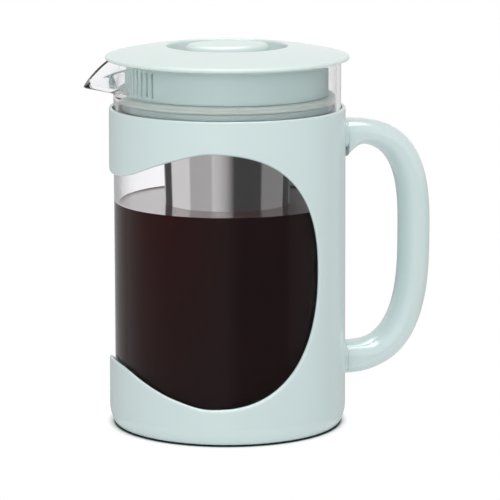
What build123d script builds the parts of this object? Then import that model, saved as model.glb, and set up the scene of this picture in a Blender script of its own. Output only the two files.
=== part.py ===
from build123d import *
import os
from math import asin, atan2, cos, hypot, pi, radians, sin, tan

os.makedirs("parts", exist_ok=True)

# All sizes are in millimetres.
# The origin is on the jug's axis, in the plane that the foot pad stands on.
# +Z is up, +X points to the handle and -X to the pouring spout.

# Clearances
flat_gap = 0.3        # between flat faces of two pieces that move past each other
round_gap = 0.15      # radial, between a seal and what it slides or turns in
snug_gap = 0.05       # between pieces that are fixed one in the other
past = 1.0            # how far cutting and joining shapes run past the faces they meet

# Foot pad and cushion
foot_t = 1.8
foot_stand = 0.8      # how far the foot pad stands out below the sleeve
foot_edge = 0.5
foot_margin = 7.3     # from the foot pad's edge to the sleeve's foot edge
cushion_t = 1.5
cushion_margin = 3.0  # inside the flat part of the glass's floor

# Glass carafe
glass_r = 57.0
glass_wall = 2.2
glass_floor = 3.0
glass_corner = 9.0
glass_height = 179.3
glass_punt_r = 34.0
glass_punt = 0.8
rim_round = 0.4

# Pouring spout of the carafe
spout_reach = 16.4    # from the carafe's outside to the tip
spout_root = 4.0      # how far inside the carafe's outside the lip starts to dip
spout_tip_drop = 10.8
spout_bend = 1.6      # how far the lip bows up from a straight line
spout_floor_drop = 15.6  # from the rim to the beak's underside, where it leaves the carafe
spout_tip_half = 2.0
spout_tip_floor = 1.2
spout_stations = (0.25, 0.6, 0.85, 1.0)  # shares of the way from the root to the tip

# Plastic sleeve
sleeve_gap = 0.35     # radial, to the glass
sleeve_wall = 1.95    # at the mouth
sleeve_draft = 0.6    # how much wider the outside is at the foot than at the mouth
sleeve_below_rim = 23.6
sleeve_corner_h = 9.2
sleeve_corner_in = 2.6
sleeve_floor = 2.4
sleeve_rim_round = 0.8
sleeve_foot_round = 0.9
sleeve_inner_round = 3.0

# Window that wraps round the spout side of the sleeve
window_crest_x = -24.0
window_top_margin = 16.15  # below the sleeve's mouth
window_mid_z = 84.2
window_low_z = 18.8
window_end_margin = 27.1  # from the window's end to the sleeve's handle side
window_power = 2.3
window_steps = 6
window_spout_drop = 16.55
window_spout_rise = 17.0
window_top_arm = ((0.4, 0.218), (0.8, 0.697))  # share of the way to the spout, share of the drop
window_low_arm = ((0.4, 0.206), (0.8, 0.678))  # share of the way to the spout, share of the rise
window_top_slope = 0.86  # of the upper edge, where it reaches the spout side
window_low_slope = 0.38
window_edge = 0.7

# Silicone ring that grips the glass inside the sleeve's mouth
grip_ring_below = 7.0
grip_ring_h = 4.0
grip_ring_depth = 1.0

# Handle
handle_depth = 21.0
handle_stand = 1.3    # how far the seats stand out of the sleeve's widest part
handle_span = 46.0    # from the seats to the outermost point of the loop
handle_finger_gap = 30.1
handle_mid_z = 92.4
handle_gap_drop = 5.4  # from the upper seat's middle to the top of the finger gap
handle_flare = 6.4    # how far the upper root hangs below the loop's inner side
handle_flare_x = 10.0
handle_powers = {"outer_top": 2.78, "outer_low": 2.68, "inner_top": 3.06, "inner_low": 2.92}
handle_sections = 14
seat_flare = 15.0     # degrees, slope of a seat's side
upper_seat_below = 15.8  # from the sleeve's mouth to the seat's middle
upper_seat_h = 14.2
lower_seat_z = 29.4
lower_seat_h = 15.7

# Handle screws
screw_r = 1.5
screw_head_r = 3.1
screw_head_h = 1.7
screw_length = 15.0
screw_drive_r = 0.9
screw_drive_depth = 0.8
screw_proud = 0.1     # the flat head's face over the bore's deepest line, level with its sides
upper_screw_drop = 1.2  # from the upper seat's middle to its screw

# Lid cover
lid_overhang = 4.1    # past the carafe's rim
lid_edge_t = 1.9
lid_rise = 6.0
lid_power = 2.5
lid_crest = 7.7       # height of the crown's centre over the underside
lid_wall = 2.2
lid_rest_gap = 0.3
dish_margin = 2.4     # from the dish's boss to the filter collar's outside
dish_depth = 8.3
dish_floor = 2.0
dish_lip = 1.2
dish_corner = 1.0
grip_length = 43.0
grip_width = 32.0
grip_top_round = 3.0
grip_foot_round = 0.9
grip_draft = 2.0      # degrees
grip_hollow_draft = 4.0

# Lid plug
plug_gap = 4.1        # radial, from the skirt to the glass
plug_wall = 2.5
plug_plate = 2.0
plug_length = 24.8
groove_depth = 1.7
groove_h = 3.9
flange_gap = 2.0      # radial, from the flange to the glass
flange_h = 3.5
flange_chamfer = 1.0
plug_low_wall = 2.0
slot_count = 13
slot_pitch = 4.8      # degrees
slot_width = 1.6
slot_low = 2.2        # above the seal groove
slot_high = 1.2       # below the top plate

# Filter core: a slightly tapered stainless tube over a framed mesh
core_drop = 15.3      # from the lid's underside to the tube's top
core_floor_gap = 9.3  # from the carafe's floor to the filter's base
core_top_r = 33.0
core_low_r = 28.5
tube_length = 70.0
tube_wall = 0.5
frame_wall = 0.8
frame_band = 5.0
frame_rib = 4.0
frame_columns = 8
frame_rows = 3
mesh_wall = 0.3
mesh_gap = 0.1
mesh_lap = 3.0
base_t = 2.0
base_corner = 1.2
base_rim_h = 4.0
base_rim_wall = 0.6

# Bayonet of the filter
collar_lip = 1.6      # past the tube's outside
collar_in = 2.4       # from the tube's outside to the collar's bore
spigot_h = 7.0
socket_wall = 3.5
socket_flange = 2.5
socket_lap = 3.0      # how far the socket reaches down past the tube's top
lug_reach = 1.9
lug_h = 2.4
lug_angle = 26.0
lug_count = 3
lug_rise = 3.0        # lug's underside over the tube's top
lug_slack = 2.0       # degrees on each side of a lug in its way in
twist_range = 45.0
oring_r = 0.75
oring_edge = 0.4      # wall outside the O-ring's seat

# Places that follow from the sizes above
sleeve_floor_z = foot_t + sleeve_floor
glass_low_z = sleeve_floor_z + cushion_t
glass_floor_z = glass_low_z + glass_floor
glass_inner_r = glass_r - glass_wall
rim_z = glass_low_z + glass_height
spout_root_x = spout_root - glass_r
spout_tip_x = -glass_r - spout_reach
spout_tip_z = rim_z - spout_tip_drop
spout_half_angle = asin(glass_r / hypot(spout_tip_x, spout_tip_half)) - atan2(spout_tip_half, -spout_tip_x)
sleeve_inner_r = glass_r + sleeve_gap
sleeve_top_r = sleeve_inner_r + sleeve_wall
sleeve_low_r = sleeve_top_r + sleeve_draft
sleeve_foot_r = sleeve_low_r - sleeve_corner_in
sleeve_low_z = foot_stand + sleeve_corner_h
sleeve_top_z = rim_z - sleeve_below_rim
foot_r = sleeve_foot_r - foot_margin
window_end_x = sleeve_low_r - window_end_margin
window_top_z = sleeve_top_z - window_top_margin
handle_seat_x = sleeve_low_r + handle_stand
upper_seat_z = sleeve_top_z - upper_seat_below
screw_places = (upper_seat_z - upper_screw_drop, lower_seat_z)
lid_under_z = rim_z + lid_rest_gap
lid_r = glass_r + lid_overhang
plug_r = glass_inner_r - plug_gap
plug_low_z = lid_under_z - plug_length
groove_floor_r = plug_r - groove_depth
groove_low_z = plug_low_z + flange_h
groove_top_z = groove_low_z + groove_h
core_top_z = lid_under_z - core_drop
core_low_z = glass_floor_z + core_floor_gap
tube_low_z = core_top_z - tube_length
frame_low_z = core_low_z + base_t
collar_r = core_top_r + collar_lip
socket_bore_r = collar_r + flat_gap
socket_outer_r = socket_bore_r + socket_wall
lug_r = collar_r + lug_reach
lug_low_z = core_top_z + lug_rise
oring_middle_r = collar_r - oring_edge - oring_r
boss_r = collar_r - dish_margin
dish_r = boss_r - lid_wall


def ring(outer_r, inner_r, low_z, high_z):
    return Pos(0, 0, low_z) * extrude(Circle(outer_r) - Circle(inner_r), high_z - low_z)


def turned(*points):
    return revolve(make_face(Plane.XZ * Polyline(*points, close=True)), Axis.Z)


def save(shape, node):
    export_step(shape, f"parts/{node}.step")
    print(node, round(shape.volume, 1))


# Foot pad: a silicone disc under the sleeve's floor
def make_foot_pad():
    pad = extrude(Circle(foot_r), foot_t)
    return fillet(pad.edges().group_by(Axis.Z)[0], foot_edge)


# Cushion: a silicone disc that the glass stands on
def make_cushion():
    cushion_r = glass_r - glass_corner - cushion_margin
    return Pos(0, 0, sleeve_floor_z) * extrude(Circle(cushion_r), cushion_t)


# Carafe: blown glass, with a spout drawn out of the rim
def spout_lip(x):
    """Height of the spout's lip over x: a shallow arc from the rim down to the tip."""
    share = (x - spout_root_x) / (spout_tip_x - spout_root_x)
    straight = rim_z - spout_tip_drop * share
    return straight + 4 * spout_bend * share * (1 - share)


def spout_body(body_r):
    """Beak of half ellipses under the lip line, whose sides run tangent to a body of this radius."""
    inset = glass_r - body_r
    side_inset = inset / cos(spout_half_angle)
    last_x = spout_tip_x + side_inset
    tip_floor_z = spout_tip_z - spout_tip_floor
    root_floor_z = rim_z - spout_floor_drop
    places = [-body_r * sin(spout_half_angle)]
    for share in spout_stations:
        places.append(spout_root_x + (last_x - spout_root_x) * share)
    sections = []
    for x in places:
        floor_share = (x + glass_r) / (spout_tip_x + glass_r)
        floor_z = root_floor_z + (tip_floor_z - root_floor_z) * floor_share
        half = spout_tip_half + (x - spout_tip_x) * tan(spout_half_angle) - side_inset
        depth = spout_lip(x) - floor_z - inset
        plane = Plane(origin=(x, 0, spout_lip(x)), x_dir=(0, 1, 0), z_dir=(-1, 0, 0))
        sections.append(plane * Ellipse(half, depth))
    return loft(sections)


def above_lip():
    """Everything over the rim and over the spout's lip line, which lowers the rim beside it."""
    far_x = spout_tip_x - past
    near_x = glass_r + past
    high_z = rim_z + glass_height
    middle_x = (spout_root_x + spout_tip_x) / 2
    lip = ThreePointArc(
        (spout_root_x, rim_z), (middle_x, spout_lip(middle_x)), (spout_tip_x, spout_tip_z)
    )
    sides = Polyline(
        (spout_tip_x, spout_tip_z), (far_x, spout_tip_z), (far_x, high_z), (near_x, high_z),
        (near_x, rim_z), (spout_root_x, rim_z),
    )
    return extrude(make_face(Plane.XZ * (lip + sides)), near_x, both=True)


def make_carafe():
    outside = Pos(0, 0, glass_low_z) * extrude(Circle(glass_r), glass_height)
    outside = fillet(outside.edges().group_by(Axis.Z)[0], glass_corner)
    inside = Pos(0, 0, glass_floor_z) * extrude(Circle(glass_inner_r), glass_height)
    inside = fillet(inside.edges().group_by(Axis.Z)[0], glass_corner - glass_wall)
    body_core = Pos(0, 0, glass_low_z) * extrude(Circle(glass_r - glass_wall / 2), 2 * glass_height)
    beak = spout_body(glass_r) - body_core
    punt = turned((0, glass_low_z), (glass_punt_r, glass_low_z), (0, glass_low_z + glass_punt))
    glass = outside + beak - inside - spout_body(glass_inner_r) - above_lip() - punt
    lip_edges = glass.edges().filter_by(lambda edge: edge.center().Z > spout_tip_z - past)
    return fillet(lip_edges, rim_round)


# Sleeve: moulded plastic cup with a wrap-around window and two seats for the handle
def window_quarter(half_x, half_z):
    """Quarter of a superellipse about the window's middle, from its end to its crest."""
    points = []
    for step in range(window_steps + 1):
        angle = radians(90 * step / window_steps)
        x = window_crest_x + half_x * cos(angle) ** (2 / window_power)
        z = window_mid_z + half_z * sin(angle) ** (2 / window_power)
        points.append((x, z))
    return points


def window_arm(crest_z, spout_z, shares):
    """Points of an edge from the window's crest to the sleeve's spout side."""
    reach = -sleeve_low_r - window_crest_x
    points = [(window_crest_x, crest_z)]
    for along, across in shares:
        points.append((window_crest_x + along * reach, crest_z + across * (spout_z - crest_z)))
    points.append((window_crest_x + reach, spout_z))
    return points


def make_window():
    half_x = window_end_x - window_crest_x
    far_x = -sleeve_low_r - past
    spout_top_z = window_top_z - window_spout_drop
    spout_low_z = window_low_z + window_spout_rise
    high_end = Spline(window_quarter(half_x, window_top_z - window_mid_z), tangents=[(0, 1), (-1, 0)])
    low_points = window_quarter(half_x, window_low_z - window_mid_z)
    low_points.reverse()
    low_end = Spline(low_points, tangents=[(1, 0), (0, 1)])
    top_arm = Spline(window_arm(window_top_z, spout_top_z, window_top_arm), tangents=[(-1, 0), (-1, -window_top_slope)])
    low_points = window_arm(window_low_z, spout_low_z, window_low_arm)
    low_points.reverse()
    low_arm = Spline(low_points, tangents=[(1, -window_low_slope), (1, 0)])
    sides = Polyline(top_arm @ 1, (far_x, spout_top_z), (far_x, spout_low_z), low_arm @ 0)
    outline = Wire([low_end, high_end, top_arm, *sides.edges(), low_arm])
    return extrude(Plane.XZ * Face(outline), 2 * sleeve_low_r, both=True)


def make_seat(middle_z, height):
    plane = Plane(origin=(handle_seat_x, 0, middle_z), x_dir=(0, 1, 0), z_dir=(-1, 0, 0))
    thickness = handle_seat_x - sleeve_inner_r + past
    return extrude(plane * Ellipse(handle_depth / 2, height / 2), thickness, taper=-seat_flare)


def make_sleeve():
    corner_r = (sleeve_corner_h ** 2 + sleeve_corner_in ** 2) / (2 * sleeve_corner_in)
    wall = Polyline(
        (sleeve_foot_r, foot_stand), (0, foot_stand), (0, sleeve_top_z), (sleeve_top_r, sleeve_top_z),
        (sleeve_low_r, sleeve_low_z),
    )
    corner = RadiusArc((sleeve_low_r, sleeve_low_z), (sleeve_foot_r, foot_stand), corner_r)
    cup = revolve(make_face(Plane.XZ * (wall + corner)), Axis.Z)
    cup = fillet(cup.edges().group_by(Axis.Z)[0], sleeve_foot_round)
    cup += make_seat(upper_seat_z, upper_seat_h) + make_seat(lower_seat_z, lower_seat_h)
    bore = Pos(0, 0, sleeve_floor_z) * extrude(Circle(sleeve_inner_r), sleeve_top_z)
    bore = fillet(bore.edges().group_by(Axis.Z)[0], sleeve_inner_round)
    foot_recess = extrude(Circle(foot_r + snug_gap), foot_t)
    cup = cup - bore - foot_recess
    cup = fillet(cup.edges().group_by(Axis.Z)[-1], sleeve_rim_round)
    window = make_window()
    opened = cup - window
    cup = fillet(new_edges(cup, window, combined=opened), window_edge)
    groove_low_z = sleeve_top_z - grip_ring_below
    groove_r = sleeve_inner_r + grip_ring_depth
    cup -= ring(groove_r, sleeve_inner_r - past, groove_low_z, groove_low_z + grip_ring_h)
    for z in screw_places:
        cup -= make_screw_hole(z)
    return cup


def make_grip_ring():
    low_z = sleeve_top_z - grip_ring_below + snug_gap
    high_z = low_z + grip_ring_h - 2 * snug_gap
    return ring(sleeve_inner_r + grip_ring_depth - snug_gap, glass_r + round_gap, low_z, high_z)


# Handle: moulded loop, swept through oval sections between its outer and inner outline
def loop_point(angle, reach_x, top_z, low_z, top_power, low_power):
    """Point of a loop of two superellipse quarters, from its top (90) to its bottom (-90)."""
    end_z, power = (top_z, top_power) if angle > 0 else (low_z, low_power)
    x = handle_seat_x + (reach_x - handle_seat_x) * cos(radians(angle)) ** (2 / power)
    z = handle_mid_z + (end_z - handle_mid_z) * abs(sin(radians(angle))) ** (2 / power)
    return x, z


def handle_stations():
    outer_x = handle_seat_x + handle_span
    outer_top_z = upper_seat_z + upper_seat_h / 2
    outer_low_z = lower_seat_z - lower_seat_h / 2
    inner_x = handle_seat_x + handle_finger_gap
    inner_top_z = upper_seat_z - handle_gap_drop
    inner_low_z = lower_seat_z + lower_seat_h / 2
    power = handle_powers
    stations = []
    for step in range(handle_sections + 1):
        angle = 90 - 180 * step / handle_sections
        outer = loop_point(angle, outer_x, outer_top_z, outer_low_z, power["outer_top"], power["outer_low"])
        x, z = loop_point(angle, inner_x, inner_top_z, inner_low_z, power["inner_top"], power["inner_low"])
        if angle > 0 and x < handle_seat_x + handle_flare_x:
            z -= handle_flare * (1 - (x - handle_seat_x) / handle_flare_x) ** 2
        stations.append((outer, (x, z)))
    return stations


def make_handle():
    middles = []
    sections = []
    for (outer_x, outer_z), (inner_x, inner_z) in handle_stations():
        across = Vector(outer_x - inner_x, 0, outer_z - inner_z)
        middle = ((outer_x + inner_x) / 2, 0, (outer_z + inner_z) / 2)
        plane = Plane(origin=middle, x_dir=across, z_dir=across.cross(Vector(0, 1, 0)))
        middles.append(middle)
        sections.append(plane * Ellipse(across.length / 2, handle_depth / 2))
    grip = sweep(sections, path=Spline(*middles), multisection=True)
    for z in screw_places:
        grip -= make_pilot(z)
    return grip


# Handle screws: countersunk, driven from inside the sleeve
def screw_plane(z):
    return Plane(origin=(sleeve_inner_r - screw_proud, 0, z), x_dir=(0, 1, 0), z_dir=(1, 0, 0))


def screw_solid(z, shank_r, head_r):
    head = screw_plane(z) * Solid.make_cone(head_r, shank_r, screw_head_h)
    shank = screw_plane(z) * Solid.make_cylinder(shank_r, screw_length)
    return head + shank


def make_screw_hole(z):
    return screw_solid(z, screw_r + snug_gap, screw_head_r + snug_gap)


def make_pilot(z):
    return screw_plane(z) * Solid.make_cylinder(screw_r + snug_gap, screw_length + flat_gap)


def make_screws():
    screws = []
    for z in screw_places:
        drive = screw_plane(z) * extrude(RegularPolygon(screw_drive_r, 6), screw_drive_depth)
        screws.append(screw_solid(z, screw_r, screw_head_r) - drive)
    return Compound(children=screws)


# Lid cover: crowned disc with a round finger dish and an oval pinch grip in it
def crown(r):
    return lid_under_z + lid_crest - lid_rise * (r / lid_r) ** lid_power


def crown_line(from_r, to_r, drop, steps=5):
    """Spline that follows the crown between two radii, a wall's thickness below it if asked."""
    points = []
    for step in range(steps + 1):
        r = from_r + (to_r - from_r) * step / steps
        points.append((r, crown(r) - drop))
    return Spline(points)


dish_z = crown(dish_r) - dish_depth
boss_z = dish_z - dish_floor


def lid_disc():
    disc_r = lid_r - lid_edge_t / 2
    dish = Polyline(
        (dish_r, crown(dish_r)), (dish_r, dish_z), (0, dish_z), (0, boss_z), (boss_r, boss_z),
        (boss_r, lid_under_z), (disc_r, lid_under_z),
    )
    rim = ThreePointArc(
        (disc_r, lid_under_z), (lid_r, (lid_under_z + crown(disc_r)) / 2), (disc_r, crown(disc_r))
    )
    disc = revolve(make_face(Plane.XZ * (crown_line(disc_r, dish_r, 0) + dish + rim)), Axis.Z)
    dish_edges = disc.edges().filter_by(lambda edge: abs(edge.center().Z - dish_z) < snug_gap)
    disc = fillet(dish_edges, dish_corner)
    lip_z = crown(dish_r)
    lip_edges = disc.edges().filter_by(lambda edge: abs(edge.center().Z - lip_z) < snug_gap)
    return fillet(lip_edges, dish_lip)


def lid_pocket():
    """Ring-shaped hollow under the crown, between the plug's skirt and the filter socket."""
    low_r = boss_r + socket_flange
    high_r = plug_r - plug_wall
    top = crown_line(high_r, low_r, lid_wall)
    sides = Polyline(
        (low_r, crown(low_r) - lid_wall), (low_r, lid_under_z), (high_r, lid_under_z),
        (high_r, crown(high_r) - lid_wall),
    )
    return revolve(make_face(Plane.XZ * (top + sides)), Axis.Z)


def make_lid_cover():
    grip_low_z = dish_z - dish_floor / 2
    grip_outline = Ellipse(grip_length / 2, grip_width / 2)
    grip = extrude(Plane.XY.offset(grip_low_z) * grip_outline, crown(0) - grip_low_z, taper=grip_draft)
    grip = fillet(grip.edges().group_by(Axis.Z)[-1], grip_top_round)
    disc = lid_disc()
    cover = disc + grip
    cover = fillet(new_edges(disc, grip, combined=cover), grip_foot_round)
    core_outline = Ellipse(grip_length / 2 - lid_wall, grip_width / 2 - lid_wall)
    core_h = crown(0) - lid_wall - boss_z
    core = extrude(Plane.XY.offset(boss_z) * core_outline, core_h, taper=grip_hollow_draft)
    return cover - core - lid_pocket()


# Lid plug: skirt with the seal's groove, strainer slots on the spout side and a top plate
def make_lid_plug():
    plate_z = lid_under_z - plug_plate
    inner_r = plug_r - plug_wall
    low_inner_r = groove_floor_r - plug_low_wall
    flange_r = glass_inner_r - flange_gap
    hub_r = socket_outer_r + snug_gap
    plug = turned(
        (plug_r, lid_under_z), (plug_r, groove_top_z), (groove_floor_r, groove_top_z),
        (groove_floor_r, groove_low_z), (flange_r, groove_low_z), (flange_r, plug_low_z + flange_chamfer),
        (flange_r - flange_chamfer, plug_low_z), (low_inner_r, plug_low_z), (low_inner_r, groove_top_z),
        (inner_r, groove_top_z + inner_r - low_inner_r), (inner_r, plate_z), (hub_r, plate_z),
        (hub_r, lid_under_z),
    )
    low_z = groove_top_z + slot_low
    high_z = plate_z - slot_high
    slot = Pos(plug_wall / 2 - plug_r, 0, (low_z + high_z) / 2) * Box(2 * plug_wall, slot_width, high_z - low_z)
    for index in range(slot_count):
        angle = (index - (slot_count - 1) / 2) * slot_pitch
        plug -= Rot(0, 0, angle) * slot
    return plug


# Lid seal: silicone ring in the plug's groove, with two soft ribs
def make_lid_seal():
    inner_r = groove_floor_r + round_gap
    outer_r = glass_inner_r - round_gap
    low_z = groove_low_z + round_gap
    high_z = groove_top_z - round_gap
    middle_z = (low_z + high_z) / 2
    rib = (high_z - low_z) / 4
    profile = Polyline(
        (outer_r - rib, low_z), (inner_r, low_z), (inner_r, high_z), (outer_r - rib, high_z)
    )
    upper = ThreePointArc((outer_r - rib, high_z), (outer_r, middle_z + rib), (outer_r - rib, middle_z))
    lower = ThreePointArc((outer_r - rib, middle_z), (outer_r, middle_z - rib), (outer_r - rib, low_z))
    return revolve(make_face(Plane.XZ * (profile + upper + lower)), Axis.Z)


# Filter socket: bayonet ring under the lid cover
def sector(outer_r, inner_r, low_z, high_z, angle):
    """Part of a ring, centred on +X."""
    far_x = 2 * outer_r * cos(radians(angle / 2))
    far_y = 2 * outer_r * sin(radians(angle / 2))
    outline = Polyline((0, 0), (far_x, -far_y), (far_x, far_y), close=True)
    wedge = Pos(0, 0, low_z) * extrude(make_face(outline), high_z - low_z)
    return ring(outer_r, inner_r, low_z, high_z) & wedge


def make_filter_socket():
    low_z = core_top_z - socket_lap
    flange_z = lid_under_z - socket_flange
    groove_low = lug_low_z - flat_gap
    groove_high = lug_low_z + lug_h + flat_gap
    groove_r = lug_r + flat_gap
    socket = turned(
        (socket_outer_r, low_z), (socket_outer_r, lid_under_z), (boss_r + snug_gap, lid_under_z),
        (boss_r + snug_gap, flange_z), (socket_bore_r, flange_z), (socket_bore_r, groove_high),
        (groove_r, groove_high), (groove_r, groove_low), (socket_bore_r, groove_low), (socket_bore_r, low_z),
    )
    way_r = lug_r + round_gap
    way_in = sector(way_r, collar_r, low_z - past, lug_low_z + lug_h / 2, lug_angle + 2 * lug_slack)
    for index in range(lug_count):
        socket -= Rot(0, 0, twist_range + index * 360 / lug_count) * way_in
    return socket


# Filter core
def core_r(z):
    return core_low_r + (core_top_r - core_low_r) * (z - core_low_z) / (core_top_z - core_low_z)


def cone_shell(low_z, high_z, inset, wall):
    return turned(
        (core_r(low_z) - inset, low_z), (core_r(high_z) - inset, high_z),
        (core_r(high_z) - inset - wall, high_z), (core_r(low_z) - inset - wall, low_z),
    )


# The collar ends just below the dish's boss, and its O-ring lies half sunk in its top
collar_top_z = boss_z - flat_gap
oring_seat_z = collar_top_z - oring_r / 2


def make_filter_collar():
    bore_r = core_top_r - collar_in
    spigot_low = core_top_z - spigot_h
    spigot_inset = tube_wall + snug_gap
    collar = turned(
        (collar_r, core_top_z), (collar_r, collar_top_z), (bore_r, collar_top_z), (bore_r, spigot_low),
        (core_r(spigot_low) - spigot_inset, spigot_low), (core_r(core_top_z) - spigot_inset, core_top_z),
    )
    lug = sector(lug_r, collar_r - past, lug_low_z, lug_low_z + lug_h, lug_angle)
    for index in range(lug_count):
        collar += Rot(0, 0, index * 360 / lug_count) * lug
    seat = ring(oring_middle_r + oring_r, oring_middle_r - oring_r, oring_seat_z, collar_top_z + past)
    return collar - seat


def make_filter_seal():
    return Pos(0, 0, oring_seat_z + oring_r) * Torus(oring_middle_r, oring_r - snug_gap)


def make_filter_tube():
    return cone_shell(tube_low_z, core_top_z, 0, tube_wall)


def make_filter_frame():
    frame = cone_shell(frame_low_z, tube_low_z, 0, frame_wall)
    row_h = (tube_low_z - frame_low_z - frame_band) / frame_rows
    column = 360 / frame_columns
    for row in range(frame_rows):
        low_z = frame_low_z + frame_band + row * row_h
        high_z = low_z + row_h - frame_band
        pitch = 2 * pi * core_r((low_z + high_z) / 2) / frame_columns
        angle = column * (pitch - frame_rib) / pitch
        hole = sector(core_top_r + past, core_low_r / 2, low_z, high_z, angle)
        for index in range(frame_columns):
            frame -= Rot(0, 0, (index + 0.5) * column) * hole
    return frame


def make_filter_mesh():
    return cone_shell(frame_low_z, tube_low_z + mesh_lap, frame_wall + mesh_gap, mesh_wall)


def make_filter_base():
    base = turned(
        (0, core_low_z), (core_r(core_low_z), core_low_z), (core_r(frame_low_z), frame_low_z), (0, frame_low_z)
    )
    base = fillet(base.edges().group_by(Axis.Z)[0], base_corner)
    rim_inset = frame_wall + mesh_gap + mesh_wall + snug_gap
    return base + cone_shell(frame_low_z, frame_low_z + base_rim_h, rim_inset, base_rim_wall)


save(make_foot_pad(), "foot_pad")
save(make_cushion(), "base_cushion")
save(make_carafe(), "glass_carafe")
save(make_sleeve(), "sleeve")
save(make_grip_ring(), "grip_ring")
save(make_handle(), "handle")
save(make_screws(), "handle_screws")
save(make_lid_cover(), "lid_cover")
save(make_lid_plug(), "lid_plug")
save(make_lid_seal(), "lid_seal")
save(make_filter_socket(), "filter_socket")
save(make_filter_collar(), "filter_collar")
save(make_filter_seal(), "filter_seal")
save(make_filter_tube(), "filter_tube")
save(make_filter_frame(), "filter_frame")
save(make_filter_mesh(), "filter_mesh")
save(make_filter_base(), "filter_base")
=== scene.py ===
import bmesh
import bpy
from math import acos, asin, atan2, copysign, cos, degrees, exp, hypot, pi, radians, sin, sqrt, tan
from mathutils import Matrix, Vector


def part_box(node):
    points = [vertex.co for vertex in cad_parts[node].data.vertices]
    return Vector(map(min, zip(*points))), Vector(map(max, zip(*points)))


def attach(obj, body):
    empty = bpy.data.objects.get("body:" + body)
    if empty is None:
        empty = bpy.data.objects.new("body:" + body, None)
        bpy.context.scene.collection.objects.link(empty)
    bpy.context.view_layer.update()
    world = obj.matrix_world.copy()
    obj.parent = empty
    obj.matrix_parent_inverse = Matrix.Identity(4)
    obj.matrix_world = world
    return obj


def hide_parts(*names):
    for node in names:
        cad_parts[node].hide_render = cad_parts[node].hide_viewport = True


# The frame holds every piece at its real size and place, in metres.
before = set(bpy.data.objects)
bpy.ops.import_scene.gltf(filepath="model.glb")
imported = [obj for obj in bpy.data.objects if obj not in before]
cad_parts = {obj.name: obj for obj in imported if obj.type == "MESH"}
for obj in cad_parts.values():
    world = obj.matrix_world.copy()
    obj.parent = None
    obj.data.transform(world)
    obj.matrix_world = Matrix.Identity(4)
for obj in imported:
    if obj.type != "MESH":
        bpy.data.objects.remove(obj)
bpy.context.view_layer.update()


# Foot pad
# A disc of soft silicone, pressed into the recess under the sleeve's floor.
# It stands out a little below the sleeve, so that the jug rests on it without sliding.
def rounded(corners, steps=5):
    """Closed outline from corners given as radius, height and rounding."""
    points = []
    for index, (radius, z, rounding) in enumerate(corners):
        corner = Vector((radius, z))
        if rounding == 0:
            points.append(corner)
            continue
        back = (Vector(corners[index - 1][:2]) - corner).normalized()
        onward = (Vector(corners[(index + 1) % len(corners)][:2]) - corner).normalized()
        half_angle = back.angle(onward) / 2
        centre = corner + (back + onward).normalized() * rounding / sin(half_angle)
        start = corner + back * rounding / tan(half_angle) - centre
        end = corner + onward * rounding / tan(half_angle) - centre
        for step in range(steps + 1):
            points.append(centre + start.slerp(end, step / steps) * rounding)
    return points


def finished(builder, name, weld=1e-7):
    """Mesh of all that a builder holds, with near points welded and its faces turned outwards."""
    bmesh.ops.remove_doubles(builder, verts=builder.verts, dist=weld)
    bmesh.ops.recalc_face_normals(builder, faces=builder.faces)
    mesh = bpy.data.meshes.new(name)
    builder.to_mesh(mesh)
    builder.free()
    return mesh


def skin(name, rings, closed=False):
    """Mesh through rings of points in order. A ring of one point is a pole."""
    builder = bmesh.new()
    rows = [[builder.verts.new(point) for point in ring] for ring in rings]
    if closed:
        rows.append(rows[0])
    for first, second in zip(rows, rows[1:]):
        count = max(len(first), len(second))
        for here in range(count):
            there = (here + 1) % count
            corners = [
                first[here % len(first)], first[there % len(first)],
                second[there % len(second)], second[here % len(second)],
            ]
            builder.faces.new(dict.fromkeys(corners))
    return finished(builder, name)


def even_turns(count):
    """Evenly spaced turns of a full circle."""
    return [2 * pi * step / count for step in range(count)]


def circle(radius, z, turns):
    """Ring of points at some turns about the jug's axis, or a pole on the axis itself."""
    if radius < 1e-6:
        return [(0, 0, z)]
    return [(radius * cos(turn), radius * sin(turn), z) for turn in turns]


def turned(name, outline, turns=even_turns(192)):
    """Mesh of an outline of radii and heights, turned about the jug's axis."""
    rings = [circle(radius, z, turns) for radius, z in outline]
    return skin(name, rings, closed=len(rings[0]) > 1)


def new_object(name, data):
    made = bpy.data.objects.new(name, data)
    bpy.context.scene.collection.objects.link(made)
    return made


def place(mesh, material, body, node, crease=38):
    """Puts a finished mesh on its body, in place of the plain solid."""
    piece = new_object(mesh.name, mesh)
    mesh.materials.clear()
    mesh.materials.append(material)
    mesh.shade_smooth()
    mesh.set_sharp_from_angle(angle=radians(crease))
    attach(piece, body)
    if node:
        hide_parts(node)


def fill(node, values):
    """Sets a node's inputs to values, or joins them to outputs of other nodes."""
    for name, value in values.items():
        if isinstance(value, bpy.types.NodeSocket):
            node.id_data.links.new(value, node.inputs[name])
        else:
            node.inputs[name].default_value = value


def add(tree, kind, values, **settings):
    """New node with its settings, and then its inputs."""
    node = tree.nodes.new(kind)
    for name, value in settings.items():
        setattr(node, name, value)
    fill(node, values)
    return node


def maths(tree, operation, *values, **settings):
    node = add(tree, "ShaderNodeMath", dict(enumerate(values)), operation=operation, **settings)
    return node.outputs[0]


def mixed(tree, share, first, second, **settings):
    """Colour between two, by a share of the second."""
    values = {"Factor": share, "A": first, "B": second}
    return add(tree, "ShaderNodeMix", values, data_type="RGBA", **settings).outputs["Result"]


def piece_space(tree):
    return tree.nodes.new("ShaderNodeTexCoord").outputs["Object"]


def apart(tree, vector):
    """The X, Y and Z of a vector."""
    return add(tree, "ShaderNodeSeparateXYZ", {0: vector}).outputs


def noise(tree, scale, detail, where=None):
    """Soft noise from 0 to 1 over a piece."""
    values = {"Vector": where or piece_space(tree), "Scale": scale, "Detail": detail}
    return add(tree, "ShaderNodeTexNoise", values).outputs["Fac"]


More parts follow.
